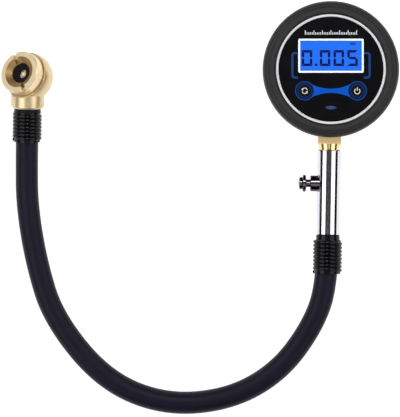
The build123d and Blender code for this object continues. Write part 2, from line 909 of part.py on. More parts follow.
# Pressure sensor: a metal can with a glass header and three pins, on the port's inner end
with BuildPart() as pressure_sensor:
    with BuildSketch(along_stem(port_end - sensor_flange_thickness)):
        Circle(sensor_radius)
    extrude(amount=sensor_flange_thickness)
    with BuildSketch(along_stem(port_end - sensor_length)):
        Circle(sensor_radius - sensor_flange)
    extrude(amount=sensor_length - sensor_flange_thickness)
    with BuildSketch(along_stem(port_end - sensor_length - sensor_pin_length)):
        with PolarLocations(sensor_pin_circle, 3, start_angle=90):
            Circle(sensor_pin_radius)
    extrude(amount=sensor_pin_length)

with BuildPart() as stem_o_ring:
    with BuildSketch(stem_profile):
        with Locations(((groove_start + groove_end) / 2, spigot_radius - ring_thickness / 2)):
            Circle(ring_thickness / 2)
    revolve(axis=stem_axis)

# Stem tube: chromed, bored right through, with a socket at each end and the valve's side hole
valve_spring_floor = -(tube_bore_radius + valve_spring_sink)
with BuildPart() as stem_tube:
    with BuildSketch(stem_profile):
        outline(
            (tube_start, spigot_radius),
            (tube_start, tube_radius - tube_bevel),
            (tube_start + tube_bevel, tube_radius),
            (tube_end - tube_bevel, tube_radius),
            (tube_end, tube_radius - tube_bevel),
            (tube_end, spigot_radius),
            (tube_end - spigot_length, spigot_radius),
            (tube_end - spigot_length, tube_bore_radius),
            (tube_start + spigot_length, tube_bore_radius),
            (tube_start + spigot_length, spigot_radius),
        )
    revolve(axis=stem_axis)
    with BuildSketch(along_valve(0)):
        Circle(valve_thread_radius)
    extrude(amount=cut_reach, mode=Mode.SUBTRACT)
    with BuildSketch(along_valve(valve_spring_floor)):
        Circle(valve_spring_radius + valve_spring_wire / 2 + loose_fit)
    extrude(amount=-valve_spring_floor, mode=Mode.SUBTRACT)

# Places along the bleed valve, outwards from the stem's axis
valve_face = tube_radius + valve_boss_length
valve_inner_end = tube_bore_radius + fit
neck_end = valve_face + valve_neck_length
neck_fillet = valve_neck_length - valve_travel - fit
guide_start = valve_face - valve_travel - valve_guide_depth
poppet_face = valve_inner_end - valve_seal_thickness
poppet_back = poppet_face - poppet_thickness

# Bleed boss: screwed into the side of the tube, its foot hollowed to sit on the tube
with BuildPart() as bleed_boss:
    with BuildSketch(along_valve(0)):
        Circle(valve_boss_radius)
    extrude(amount=valve_face)
    chamfer(bleed_boss.edges().filter_by(GeomType.CIRCLE).sort_by(valve_axis)[-1], valve_edge)
    with BuildSketch(along_stem(tube_start)):
        Circle(tube_radius)
    extrude(amount=tube_length, mode=Mode.SUBTRACT)
    with BuildSketch(along_valve(valve_inner_end)):
        Circle(valve_thread_radius)
    extrude(amount=tube_radius - valve_inner_end)
    with BuildSketch(along_valve(valve_inner_end)):
        Circle(valve_seat_radius)
    extrude(amount=cut_reach, mode=Mode.SUBTRACT)
    with BuildSketch(along_valve(guide_start - valve_travel - fit)):
        Circle(valve_neck_radius + fit / 2)
    extrude(amount=cut_reach, mode=Mode.SUBTRACT)

# Bleed button: the flanged cap that the thumb pushes, on a waisted neck
flange_end = neck_end + valve_flange_thickness
cap_end = flange_end + valve_cap_length
dome_radius = (valve_cap_radius**2 + valve_cap_dome**2) / (2 * valve_cap_dome)
with BuildPart() as bleed_button:
    with BuildSketch(valve_profile):
        with BuildLine():
            Polyline(
                (guide_start, 0),
                (guide_start, valve_neck_radius),
                (neck_end - neck_fillet, valve_neck_radius),
            )
            fillet_start = (neck_end - neck_fillet, valve_neck_radius)
            fillet_end = (neck_end, valve_neck_radius + neck_fillet)
            RadiusArc(fillet_start, fillet_end, neck_fillet)
            Polyline(
                fillet_end,
                (neck_end, valve_flange_radius - valve_edge),
                (neck_end + valve_edge, valve_flange_radius),
                (flange_end - valve_edge, valve_flange_radius),
                (flange_end, valve_flange_radius - valve_edge),
                (flange_end, valve_cap_radius - valve_edge),
                (flange_end + valve_edge, valve_cap_radius),
                (cap_end - valve_cap_dome, valve_cap_radius),
            )
            RadiusArc((cap_end - valve_cap_dome, valve_cap_radius), (cap_end, 0), dome_radius)
            Line((cap_end, 0), (guide_start, 0))
        make_face()
    revolve(axis=valve_axis)

# Bleed poppet: the pin under the button and the head that shuts the valve from inside
with BuildPart() as bleed_poppet:
    with BuildSketch(along_valve(poppet_face)):
        Circle(valve_pin_radius)
    extrude(amount=guide_start - poppet_face)
    with BuildSketch(along_valve(poppet_back)):
        Circle(poppet_radius)
    extrude(amount=poppet_thickness)

with BuildPart() as bleed_seal:
    with BuildSketch(along_valve(poppet_face)):
        Circle(poppet_radius)
        Circle(valve_pin_radius, mode=Mode.SUBTRACT)
    extrude(amount=valve_seal_thickness)

# Bleed spring: pushes the poppet shut from the floor of its pocket in the tube
spring_length = poppet_back - valve_spring_floor - valve_spring_wire
spring_start = valve_middle + valve_direction * (valve_spring_floor + valve_spring_wire / 2)
with BuildPart() as bleed_spring:
    with BuildLine():
        coil = Helix(
            pitch=spring_length / valve_spring_turns,
            height=spring_length,
            radius=valve_spring_radius,
            center=spring_start,
            direction=valve_direction,
        )
    with BuildSketch(Plane(coil @ 0, z_dir=coil % 0)):
        RegularPolygon(valve_spring_wire / 2, 6)
    sweep(path=coil, is_frenet=True)


def hose_barb(profile, axis, socket_face, tail_start):
    """A plug that fills the socket behind a face, with a barbed tail for the hose beyond it."""
    socket_floor = socket_face - spigot_length
    tail_end = tail_start + barb_tail
    barb_pitch = (barb_tail - 2 * barb_plain) / barb_count
    points = [
        (socket_floor, air_radius),
        (socket_floor, spigot_radius),
        (socket_face, spigot_radius),
        (socket_face, hose_bore_radius),
        (tail_start + barb_plain, hose_bore_radius),
    ]
    for barb in range(barb_count):
        barb_start = tail_start + barb_plain + barb * barb_pitch
        points.append((barb_start, hose_bore_radius + barb_proud))
        points.append((barb_start + barb_pitch * barb_rise, hose_bore_radius))
        points.append((barb_start + barb_pitch, hose_bore_radius))
    points += [(tail_end, hose_bore_radius - barb_proud), (tail_end, air_radius)]
    with BuildPart() as barb_part:
        with BuildSketch(profile):
            outline(*points)
        revolve(axis=axis)
    return barb_part


gauge_barb = hose_barb(stem_profile, stem_axis, tube_end, hose_start)
chuck_barb = hose_barb(chuck_profile, chuck_axis, collar_end, chuck_hose_start)


def strain_relief(profile, axis, start, smooth, rib_count, rib_radius):
    """A moulded rubber sleeve over the hose's end: an end wall, then ribs like a spring."""
    length = smooth + rib_count * rib_pitch
    sleeve_radius = hose_radius + sleeve_wall
    wall_end = start + sleeve_end_wall
    end = start + length
    first_radius = sleeve_collar_radius if smooth else rib_radius
    with BuildPart() as sleeve:
        with BuildSketch(profile):
            points = [
                (start, hose_bore_radius + fit),
                (start, first_radius),
                (start + max(smooth, rib_width), first_radius),
            ]
            for rib in range(0 if smooth else 1, rib_count):
                rib_start = start + smooth + rib * rib_pitch + (rib_pitch - rib_width) / 2
                rib_end = rib_start + rib_width
                points.append((rib_start - rib_slant, sleeve_radius))
                points.append((rib_start + rib_slant, rib_radius))
                points.append((rib_end - rib_slant, rib_radius))
                points.append((rib_end + rib_slant, sleeve_radius))
            points += [
                (end, sleeve_radius),
                (end, hose_radius + sleeve_flare),
                (end - sleeve_flare_length, hose_radius),
                (wall_end, hose_radius),
                (wall_end, hose_bore_radius + fit),
            ]
            outline(*points)
        revolve(axis=axis)
    return sleeve


gauge_strain_relief = strain_relief(
    stem_profile, stem_axis, tube_end, sleeve_end_wall, gauge_rib_count, gauge_rib_radius
)
chuck_strain_relief = strain_relief(
    chuck_profile, chuck_axis, chuck_sleeve_start, 0, chuck_rib_count, chuck_rib_radius
)

# The hose leaves the stem level, sinks to the table, lies in one wide loop and rises to the chuck
hose_points = [
    stem_middle + stem_direction * hose_start,
    stem_middle + stem_direction * (hose_start + hose_end_run),
    Vector(-9.4, -140.6, 14.9),
    Vector(-28.1, -166.5, 11.5),
    Vector(-55.9, -182.2, 8.4),
    Vector(-92.0, -185.2, hose_radius),
    Vector(-125.5, -171.1, hose_radius),
    Vector(-153.0, -137.3, hose_radius),
    Vector(-162.3, -107.1, hose_radius),
    Vector(-167.6, -75.4, hose_radius),
    chuck_middle + chuck_direction * (chuck_hose_start + hose_end_run),
    chuck_middle + chuck_direction * chuck_hose_start,
]


def bend_radii(points):
    """The bend at each inner point of a route: as large as a share of the shorter run allows."""
    radii = []
    for before, corner, after in zip(points, points[1:], points[2:]):
        into, out = corner - before, after - corner
        half_turn = radians(into.get_angle(out)) / 2
        radii.append(bend_share * min(into.length, out.length) / tan(half_turn))
    return radii


hose_radii = bend_radii(hose_points)
print("hose bend radii:", [round(radius) for radius in hose_radii])
with BuildPart() as hose:
    with BuildLine():
        hose_path = FilletPolyline(*hose_points, radius=hose_radii)
    with BuildSketch(Plane(hose_path @ 0, z_dir=hose_path % 0)):
        Circle(hose_radius)
        Circle(hose_bore_radius, mode=Mode.SUBTRACT)
    sweep(path=hose_path)
print("hose length:", round(hose_path.length, 1))

# Chuck washer: a black ring between the collar and the strain relief
with BuildPart() as chuck_washer:
    with BuildSketch(along_chuck(collar_end)):
        Circle(washer_radius)
        Circle(hose_bore_radius + fit, mode=Mode.SUBTRACT)
    extrude(amount=washer_thickness)

# Chuck body: a brass ball with a flat for the ring, a collar for the hose and an air way
ring_top = mouth_flat + ring_height
chamber_floor = chuck_rise - chamber_depth
funnel_end = ring_top - funnel_depth
gasket_seat = pocket_floor + pin_plate_thickness
gasket_top = gasket_seat + gasket_thickness
with BuildPart() as chuck_body:
    with Locations(ball_middle):
        Sphere(ball_radius)
    with BuildSketch(along_chuck(0)):
        Circle(collar_radius)
    extrude(amount=collar_end)
    chamfer(chuck_body.edges().filter_by(GeomType.CIRCLE).sort_by(chuck_axis)[-1], collar_chamfer)
    with BuildSketch(along_mouth(mouth_flat)):
        Circle(ball_radius)
    extrude(amount=cut_reach, mode=Mode.SUBTRACT)
    with BuildSketch(along_mouth(mouth_flat)):
        Circle(ring_thread_radius)
    extrude(amount=ring_thread_length)
    with BuildSketch(along_mouth(pocket_floor)):
        Circle(pocket_radius)
    extrude(amount=cut_reach, mode=Mode.SUBTRACT)
    with BuildSketch(along_mouth(chamber_floor)):
        Circle(chamber_radius)
    extrude(amount=pocket_floor - chamber_floor, mode=Mode.SUBTRACT)
    with BuildSketch(along_chuck(0)):
        Circle(air_radius)
    extrude(amount=collar_end, mode=Mode.SUBTRACT)
    with BuildSketch(along_chuck(collar_end - spigot_length)):
        Circle(spigot_radius)
    extrude(amount=spigot_length, mode=Mode.SUBTRACT)

# Chuck ring: the tall slotted nut that clamps the gasket, with a funnel that guides the valve in
with BuildPart() as chuck_ring:
    with BuildSketch(mouth_profile):
        outline(
            (gasket_top, throat_radius),
            (gasket_top, ring_thread_radius),
            (mouth_flat, ring_thread_radius),
            (mouth_flat, ring_radius - ring_undercut_depth),
            (mouth_flat + ring_undercut, ring_radius - ring_undercut_depth),
            (mouth_flat + ring_undercut, ring_radius),
            (ring_top - ring_edge, ring_radius),
            (ring_top, ring_radius - ring_edge),
            (ring_top, funnel_radius),
            (funnel_end, throat_radius),
        )
    revolve(axis=mouth_axis)
    with BuildSketch(along_mouth(ring_top - slot_depth)):
        Rectangle(2 * ring_radius, slot_width)
    extrude(amount=cut_reach, mode=Mode.SUBTRACT)

with BuildPart() as chuck_gasket:
    with BuildSketch(mouth_profile):
        outline(
            (gasket_seat, gasket_hole_radius),
            (gasket_seat, pocket_radius),
            (gasket_top, pocket_radius),
            (gasket_top, gasket_hole_radius + gasket_bevel),
            (gasket_top - gasket_bevel, gasket_hole_radius),
        )
    revolve(axis=mouth_axis)

# Depressor pin: the fixed pin that opens the tyre's valve, on a plate with air holes
pin_tip = gasket_top - pin_recess
vent_circle = gasket_hole_radius - vent_radius - fit
with BuildPart() as depressor_pin:
    with BuildSketch(along_mouth(pocket_floor)):
        Circle(pocket_radius)
        with PolarLocations(vent_circle, vent_count):
            Circle(vent_radius, mode=Mode.SUBTRACT)
    extrude(amount=pin_plate_thickness)
    with BuildSketch(mouth_profile):
        outline(
            (gasket_seat, 0),
            (gasket_seat, pin_radius),
            (pin_tip - pin_bevel, pin_radius),
            (pin_tip, pin_radius - pin_bevel),
            (pin_tip, pin_dimple_radius),
            (pin_tip - pin_bevel, 0),
        )
    revolve(axis=mouth_axis)

nodes = {
    "rubber_boot": rubber_boot,
    "rear_case": rear_case,
    "front_case": front_case,
    "bezel_ring": bezel_ring,
    "face_panel": face_panel,
    "light_guide": light_guide,
    "face_brackets": face_brackets,
    "display_frame": display_frame,
    "display_glass": display_glass,
    "display_segments": display_segments,
    "display_light_box": display_light_box,
    "main_board": main_board,
    "key_switches": key_switches,
    "driver_chip": driver_chip,
    "status_lamp": status_lamp,
    "status_lens": status_lens,
    "mode_key": mode_key,
    "power_key": power_key,
    "battery_door": battery_door,
    "door_screw": door_screw,
    "case_screws": case_screws,
    "upper_cell": upper_cell,
    "lower_cell": lower_cell,
    "battery_contacts": battery_contacts,
    "gauge_port": gauge_port,
    "port_nut": port_nut,
    "pressure_sensor": pressure_sensor,
    "stem_o_ring": stem_o_ring,
    "stem_tube": stem_tube,
    "bleed_boss": bleed_boss,
    "bleed_button": bleed_button,
    "bleed_poppet": bleed_poppet,
    "bleed_seal": bleed_seal,
    "bleed_spring": bleed_spring,
    "gauge_barb": gauge_barb,
    "gauge_strain_relief": gauge_strain_relief,
    "hose": hose,
    "chuck_strain_relief": chuck_strain_relief,
    "chuck_barb": chuck_barb,
    "chuck_washer": chuck_washer,
    "chuck_body": chuck_body,
    "chuck_ring": chuck_ring,
    "chuck_gasket": chuck_gasket,
    "depressor_pin": depressor_pin,
}
for name, node in nodes.items():
    node.part.label = name
    export_step(node.part, f"parts/{name}.step")
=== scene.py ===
from math import cos, radians, sin

import bmesh
import bpy
from mathutils import Matrix, Vector


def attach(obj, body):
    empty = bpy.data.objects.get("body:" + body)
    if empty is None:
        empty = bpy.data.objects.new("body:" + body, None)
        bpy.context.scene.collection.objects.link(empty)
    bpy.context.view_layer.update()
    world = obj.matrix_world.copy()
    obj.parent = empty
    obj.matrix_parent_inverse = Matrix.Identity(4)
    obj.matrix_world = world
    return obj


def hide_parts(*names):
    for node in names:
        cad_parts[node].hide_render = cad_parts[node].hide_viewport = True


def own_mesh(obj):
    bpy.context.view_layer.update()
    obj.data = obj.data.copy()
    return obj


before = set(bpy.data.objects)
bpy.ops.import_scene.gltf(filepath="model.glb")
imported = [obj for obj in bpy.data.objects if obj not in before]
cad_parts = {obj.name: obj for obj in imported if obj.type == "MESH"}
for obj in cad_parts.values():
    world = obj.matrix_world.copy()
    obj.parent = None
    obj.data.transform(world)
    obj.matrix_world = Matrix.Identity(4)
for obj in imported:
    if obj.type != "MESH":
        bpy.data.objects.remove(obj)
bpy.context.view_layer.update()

# A digital tyre pressure gauge on a white table, seen straight from above.
# Metres, in the frame of the CAD model. Pattern sizes in the materials are in millimetres.
scene = bpy.context.scene


# The axes that the turned and moulded pieces share, as part.py has them; angles in degrees
axes = {
    "stemMiddle": (0, 0, 0.018), "lean": 1.0, "valvePlace": 0.06302,
    "ballMiddle": (-0.1666, -0.00405, 0.0134), "mouthTilt": 36.0, "mouthHeading": 153.0,
    "chuckRise": 0.0008, "chuckSlope": 9.4,
}
leanAngle = radians(axes["lean"])
stemMiddle = Vector(axes["stemMiddle"])
stemDirection = Vector((-sin(leanAngle), -cos(leanAngle), 0))
valveMiddle = stemMiddle + stemDirection * axes["valvePlace"]
valveDirection = Vector((-cos(leanAngle), sin(leanAngle), 0))
ballMiddle = Vector(axes["ballMiddle"])
mouthTilt, mouthHeading = radians(axes["mouthTilt"]), radians(axes["mouthHeading"])
mouthDirection = Vector((
    sin(mouthTilt) * cos(mouthHeading), sin(mouthTilt) * sin(mouthHeading), cos(mouthTilt)
))
chuckMiddle = ballMiddle + mouthDirection * axes["chuckRise"]
chuckSlope = radians(axes["chuckSlope"])
chuckDirection = Vector((
    -sin(leanAngle) * cos(chuckSlope), -cos(leanAngle) * cos(chuckSlope), -sin(chuckSlope)
))


# Camera: straight above with a long lens, framed as the photograph is;
# width is what the picture spans on the table
camera = {
    "centre": (-0.0721, -0.0767), "height": 8.0, "width": 0.2211, "sensor": 0.036,
    "farthest": 40.0,
}

cameraData = bpy.data.cameras.new("overheadCamera")
cameraData.sensor_fit = "HORIZONTAL"
cameraData.sensor_width = camera["sensor"] * 1000
cameraData.lens = cameraData.sensor_width * camera["height"] / camera["width"]
cameraData.clip_end = camera["farthest"]
cameraObject = bpy.data.objects.new("overheadCamera", cameraData)
cameraObject.location = (*camera["centre"], camera["height"])
scene.collection.objects.link(cameraObject)
scene.camera = cameraObject
scene.view_settings.view_transform = "Standard"


# The one helper for nodes, and what every material starts from
def addNode(tree, kind, inputs=None, **settings):
    node = tree.nodes.new(kind)
    for name, value in settings.items():
        setattr(node, name, value)
    for socket, value in (inputs or {}).items():
        if isinstance(value, bpy.types.NodeSocket):
            tree.links.new(value, node.inputs[socket])
        else:
            node.inputs[socket].default_value = value
    return node


def linearColour(code):
    channels = [int(code[place:place + 2], 16) / 255 for place in (1, 3, 5)]
    return (*[c / 12.92 if c <= 0.04045 else ((c + 0.055) / 1.055) ** 2.4 for c in channels], 1)


def startMaterial(name, colour, roughness, metallic=0.0, centre=(0, 0, 0), axis=(0, 0, 1)):
    # the pattern's own Z runs along axis from centre, in millimetres
    material = bpy.data.materials.new(name)
    material.use_nodes = True
    tree = material.node_tree
    shader = tree.nodes["Principled BSDF"]
    shader.inputs["Base Color"].default_value = linearColour(colour)
    shader.inputs["Roughness"].default_value = roughness
    shader.inputs["Metallic"].default_value = metallic
    turn = Vector((0, 0, 1)).rotation_difference(Vector(axis)).to_matrix().transposed()
    place = addNode(tree, "ShaderNodeMapping", {
        "Vector": addNode(tree, "ShaderNodeTexCoord").outputs["Object"],
        "Location": turn @ Vector(centre) * -1000,
        "Rotation": turn.to_euler(),
        "Scale": (1000, 1000, 1000),
    }, name="millimetres")
    return material, tree, shader, place.outputs["Vector"]


def mouldedMaterial(name, low, high, roughness, grain, depth, sheen=0.5, mottle=7.0, swing=0.06):
    # a moulded surface: its grain in the bump, and a slow change of tone and gloss;
    # the grain's width and depth and the mottle's width are in millimetres
    material, tree, shader, mm = startMaterial(name, low, roughness)
    shader.inputs["Specular IOR Level"].default_value = sheen
    fine = addNode(tree, "ShaderNodeTexNoise", {"Vector": mm, "Scale": 1 / grain, "Detail": 2})
    slow = addNode(tree, "ShaderNodeTexNoise", {"Vector": mm, "Scale": 1 / mottle, "Detail": 3})
    tone = addNode(tree, "ShaderNodeMix", {
        "Factor": slow.outputs["Fac"], 6: linearColour(low), 7: linearColour(high),
    }, data_type="RGBA")
    gloss = addNode(tree, "ShaderNodeMapRange", {
        "Value": slow.outputs["Fac"], "To Min": roughness - swing, "To Max": roughness + swing,
    })
    tree.links.new(tone.outputs[2], shader.inputs["Base Color"])
    tree.links.new(gloss.outputs["Result"], shader.inputs["Roughness"])
    bump = addNode(tree, "ShaderNodeBump", {
        "Height": fine.outputs["Fac"], "Strength": 1.0, "Distance": depth / 1000,
    })
    tree.links.new(bump.outputs["Normal"], shader.inputs["Normal"])
    return material


def turnedMaterial(name, low, high, roughness, pitch, centre, axis, depth=0.004, metallic=1.0,
                   stains=5.0, shinier=0.05, duller=0.08):
    # a turned surface: fine rings round the axis, where the tool's feed left them, and stains;
    # their pitch, depth and width are in millimetres;
    # less than wholly metallic where a film of oxide or lacquer dulls it
    material, tree, shader, mm = startMaterial(name, low, roughness, metallic, centre, axis)
    parts = addNode(tree, "ShaderNodeSeparateXYZ", {"Vector": mm})
    flat = addNode(tree, "ShaderNodeCombineXYZ", {
        "X": parts.outputs["X"], "Y": parts.outputs["Y"],
    })
    radius = addNode(tree, "ShaderNodeVectorMath", {0: flat.outputs["Vector"]}, operation="LENGTH")
    rings = addNode(tree, "ShaderNodeCombineXYZ", {
        "X": radius.outputs["Value"], "Z": parts.outputs["Z"],
    })
    marks = addNode(tree, "ShaderNodeTexNoise", {
        "Vector": rings.outputs["Vector"], "Scale": 1 / pitch, "Detail": 2,
    })
    stain = addNode(tree, "ShaderNodeTexNoise", {"Vector": mm, "Scale": 1 / stains, "Detail": 4})
    tone = addNode(tree, "ShaderNodeMix", {
        "Factor": stain.outputs["Fac"], 6: linearColour(low), 7: linearColour(high),
    }, data_type="RGBA")
    gloss = addNode(tree, "ShaderNodeMapRange", {
        "Value": marks.outputs["Fac"], "To Min": roughness - shinier, "To Max": roughness + duller,
    })
    tree.links.new(tone.outputs[2], shader.inputs["Base Color"])
    tree.links.new(gloss.outputs["Result"], shader.inputs["Roughness"])
    bump = addNode(tree, "ShaderNodeBump", {
        "Height": marks.outputs["Fac"], "Strength": 1.0, "Distance": depth / 1000,
    })
    tree.links.new(bump.outputs["Normal"], shader.inputs["Normal"])
    return material


def lightUp(material, colour, strength):
    # makes a material glow; colour is a hex code, or the socket that works it out
    tree = material.node_tree
    shader = tree.nodes["Principled BSDF"]
    if isinstance(colour, str):
        shader.inputs["Emission Color"].default_value = linearColour(colour)
    else:
        tree.links.new(colour, shader.inputs["Emission Color"])
    shader.inputs["Emission Strength"].default_value = strength


def dress(material, *nodes):
    # gives CAD nodes a material
    for node in nodes:
        mesh = bpy.data.objects[node].data
        mesh.materials.clear()
        mesh.materials.append(material)


def addPiece(name, mesh, material, body):
    # puts a made mesh in the scene, where it rides its body
    mesh.materials.clear()
    mesh.materials.append(material)
    piece = bpy.data.objects.new(name, mesh)
    scene.collection.objects.link(piece)
    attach(piece, body)
    return piece


def growMesh(tree, sizes):
    # runs a Geometry Nodes tree with these sizes, and hands back its plain mesh
    host = bpy.data.objects.new("host", bpy.data.meshes.new("host"))
    scene.collection.objects.link(host)
    modifier = host.modifiers.new("grow", "NODES")
    modifier.node_group = tree
    for item in tree.interface.items_tree:
        if item.name in sizes:
            modifier[item.identifier] = sizes[item.name]
    host.update_tag()
    evaluated = host.evaluated_get(bpy.context.evaluated_depsgraph_get())
    mesh = bpy.data.meshes.new_from_object(evaluated)
    host.modifiers.remove(modifier)
    bpy.data.objects.remove(host)
    return mesh


def startTree(name, sizes):
    tree = bpy.data.node_groups.new(name, "GeometryNodeTree")
    for label, value in sizes.items():
        kind = "NodeSocketInt" if isinstance(value, int) else "NodeSocketFloat"
        tree.interface.new_socket(label, in_out="INPUT", socket_type=kind)
    tree.interface.new_socket("Geometry", in_out="OUTPUT", socket_type="NodeSocketGeometry")
    return tree, addNode(tree, "NodeGroupInput").outputs


def endTree(tree, geometry, material):
    real = addNode(tree, "GeometryNodeRealizeInstances", {"Geometry": geometry})
    painted = addNode(tree, "GeometryNodeSetMaterial", {
        "Geometry": real.outputs["Geometry"], "Material": material,
    })
    addNode(tree, "NodeGroupOutput", {"Geometry": painted.outputs["Geometry"]})


# Hose: smooth black rubber with a faint violet cast, in one loop from the stem to the chuck
hose = {
    "diameter": 0.0124,
    "length": 0.339,
    # points that its middle line bends round, from sleeve to sleeve
    "route": [
        (-0.00164, -0.09400, 0.0180),
        (-0.00206, -0.11800, 0.0180),
        (-0.00940, -0.14060, 0.0149),
        (-0.02810, -0.16650, 0.0115),
        (-0.05590, -0.18220, 0.0084),
        (-0.09200, -0.18520, 0.0062),
        (-0.12550, -0.17110, 0.0062),
        (-0.15300, -0.13730, 0.0062),
        (-0.16230, -0.10710, 0.0062),
        (-0.16760, -0.07540, 0.0062),
        (-0.16781, -0.04931, 0.00652),
        (-0.16740, -0.02564, 0.01044),
    ],
}

# extruded rubber: an even, slightly greasy sheen, with faint die lines too fine to see singly
hoseRubber = mouldedMaterial(
    "extrudedRubber", "#110f1e", "#151324", roughness=0.45, grain=0.5, depth=0.012, sheen=0.13
)

hoseCurve = bpy.data.curves.new("rubberHose", "CURVE")
hoseCurve.dimensions = "3D"
hoseCurve.bevel_depth = hose["diameter"] / 2
hoseCurve.bevel_resolution = 10
hoseCurve.resolution_u = 16
hoseCurve.use_fill_caps = True
hoseSpline = hoseCurve.splines.new("NURBS")
hoseSpline.points.add(len(hose["route"]) - 1)
for point, place in zip(hoseSpline.points, hose["route"]):
    point.co = (*place, 1)
hoseSpline.order_u = 3
hoseSpline.use_endpoint_u = True
hoseCurve.materials.append(hoseRubber)
hoseObject = bpy.data.objects.new("rubberHose", hoseCurve)
scene.collection.objects.link(hoseObject)
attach(hoseObject, "gauge")
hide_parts("hose")
print("hose laid")


# Strain reliefs: a rubber sleeve with one rib wound round it like a spring
gaugeSleeve = {
    "Length": 0.02122, "Collar": 0.0025, "Collar Radius": 0.00655, "Core Radius": 0.0073,
    "Rib Radius": 0.0081, "Wire Radius": 0.00103, "Turns": 8.0,
}
chuckSleeve = {
    "Length": 0.01664, "Collar": 0.0004, "Collar Radius": 0.0076, "Core Radius": 0.0073,
    "Rib Radius": 0.0081, "Wire Radius": 0.00103, "Turns": 7.0,
}
sleeveStart = {"gauge": 0.091515, "chuck": 0.0196}  # along the axes of stem and chuck

# rubber from a polished mould: black, with a fine sheen that shows on the ribs' crowns
sleeveRubber = mouldedMaterial(
    "mouldedSleeveRubber", "#060609", "#0a0a0e", roughness=0.22, grain=0.4, depth=0.006, sheen=0.21
)

sleeveTree, size = startTree("woundSleeve", gaugeSleeve)
coreLine = addNode(sleeveTree, "GeometryNodeCurvePrimitiveLine", {
    "Start": addNode(sleeveTree, "ShaderNodeCombineXYZ", {"Z": size["Collar"]}).outputs[0],
    "End": addNode(sleeveTree, "ShaderNodeCombineXYZ", {"Z": size["Length"]}).outputs[0],
})
collarLine = addNode(sleeveTree, "GeometryNodeCurvePrimitiveLine", {
    "End": addNode(sleeveTree, "ShaderNodeCombineXYZ", {"Z": size["Collar"]}).outputs[0],
})
coreRound = addNode(sleeveTree, "GeometryNodeCurvePrimitiveCircle", {
    "Resolution": 48, "Radius": size["Core Radius"],
})
collarRound = addNode(sleeveTree, "GeometryNodeCurvePrimitiveCircle", {
    "Resolution": 48, "Radius": size["Collar Radius"],
})
core = addNode(sleeveTree, "GeometryNodeCurveToMesh", {
    "Curve": coreLine.outputs[0], "Profile Curve": coreRound.outputs[0], "Fill Caps": True,
})
collar = addNode(sleeveTree, "GeometryNodeCurveToMesh", {
    "Curve": collarLine.outputs[0], "Profile Curve": collarRound.outputs[0], "Fill Caps": True,
})
# the rib's middle line is a helix one wire inside the rib's crown, between the sleeve's ends
ribLine = addNode(sleeveTree, "ShaderNodeMath", {
    0: size["Rib Radius"], 1: size["Wire Radius"],
}, operation="SUBTRACT")
ribSpan = addNode(sleeveTree, "ShaderNodeMath", {
    0: size["Length"], 1: size["Collar"],
}, operation="SUBTRACT")
ribRise = addNode(sleeveTree, "ShaderNodeMath", {
    0: size["Wire Radius"], 1: -2.0, 2: ribSpan.outputs[0],
}, operation="MULTIPLY_ADD")
ribFoot = addNode(sleeveTree, "ShaderNodeMath", {
    0: size["Collar"], 1: size["Wire Radius"],
}, operation="ADD")
helix = addNode(sleeveTree, "GeometryNodeCurveSpiral", {
    "Resolution": 40, "Rotations": size["Turns"], "Start Radius": ribLine.outputs[0],
    "End Radius": ribLine.outputs[0], "Height": ribRise.outputs[0],
})
wireRound = addNode(sleeveTree, "GeometryNodeCurvePrimitiveCircle", {
    "Resolution": 12, "Radius": size["Wire Radius"],
})
rib = addNode(sleeveTree, "GeometryNodeCurveToMesh", {
    "Curve": helix.outputs[0], "Profile Curve": wireRound.outputs[0], "Fill Caps": True,
})
ribLift = addNode(sleeveTree, "ShaderNodeCombineXYZ", {"Z": ribFoot.outputs[0]})
raised = addNode(sleeveTree, "GeometryNodeTransform", {
    "Geometry": rib.outputs[0], "Translation": ribLift.outputs[0],
})
wound = addNode(sleeveTree, "GeometryNodeJoinGeometry")
for part in (core, collar, raised):
    sleeveTree.links.new(part.outputs[0], wound.inputs[0])
endTree(sleeveTree, wound.outputs[0], sleeveRubber)


def placeAlong(middle, direction, distance, side):
    # turns +Z into direction and +X towards side, at a distance from middle
    across = (Vector(side) - direction * direction.dot(Vector(side))).normalized()
    turn = Matrix((across, direction.cross(across), direction)).transposed().to_4x4()
    return Matrix.Translation(middle + direction * distance) @ turn


for name, sizes, middle, direction in (
    ("gauge", gaugeSleeve, stemMiddle, stemDirection),
    ("chuck", chuckSleeve, chuckMiddle, chuckDirection),
):
    sleeveMesh = growMesh(sleeveTree, sizes)
    sleeveMesh.transform(placeAlong(middle, direction, sleeveStart[name], (-1, 0, 0)))
    for face in sleeveMesh.polygons:
        face.use_smooth = len(face.vertices) == 4  # the caps stay flat
    sleeve = addPiece(f"{name}WoundSleeve", sleeveMesh, sleeveRubber, "gauge")
    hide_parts(f"{name}_strain_relief")
print("strain reliefs wound")


# Boot and case
# injection moulded rubber: dry, with a fine grain and a slightly brown cast on the flats
bootRubber = mouldedMaterial(
    "mouldedBootRubber", "#1f1d1e", "#262425", roughness=0.56, grain=0.45, depth=0.03, sheen=0.35
)
dress(bootRubber, "rubber_boot")

# ABS: spark-eroded texture, a little shinier than the boot
caseAbs = mouldedMaterial(
    "texturedAbs", "#1d1d1f", "#262628", roughness=0.48, grain=0.3, depth=0.02
)
dress(caseAbs, "rear_case", "front_case", "battery_door", "key_switches", "driver_chip")

# silver lacquer on the plated ring: bright from every side, with only a soft sheen
bezelSilver = turnedMaterial(
    "silverLacquer", "#dcdcde", "#e8e8e8", roughness=0.5, pitch=0.12,
    centre=(0, 0, 0), axis=(0, 0, 1), metallic=0.0,
)
dress(bezelSilver, "bezel_ring")

# screen-printed polycarbonate: near black with a blue cast, almost smooth
facePrint = mouldedMaterial(
    "printedPolycarbonate", "#07070b", "#09090e", roughness=0.25, grain=0.6, depth=0.002, sheen=0.15
)
dress(facePrint, "face_panel")
print("boot and face dressed")


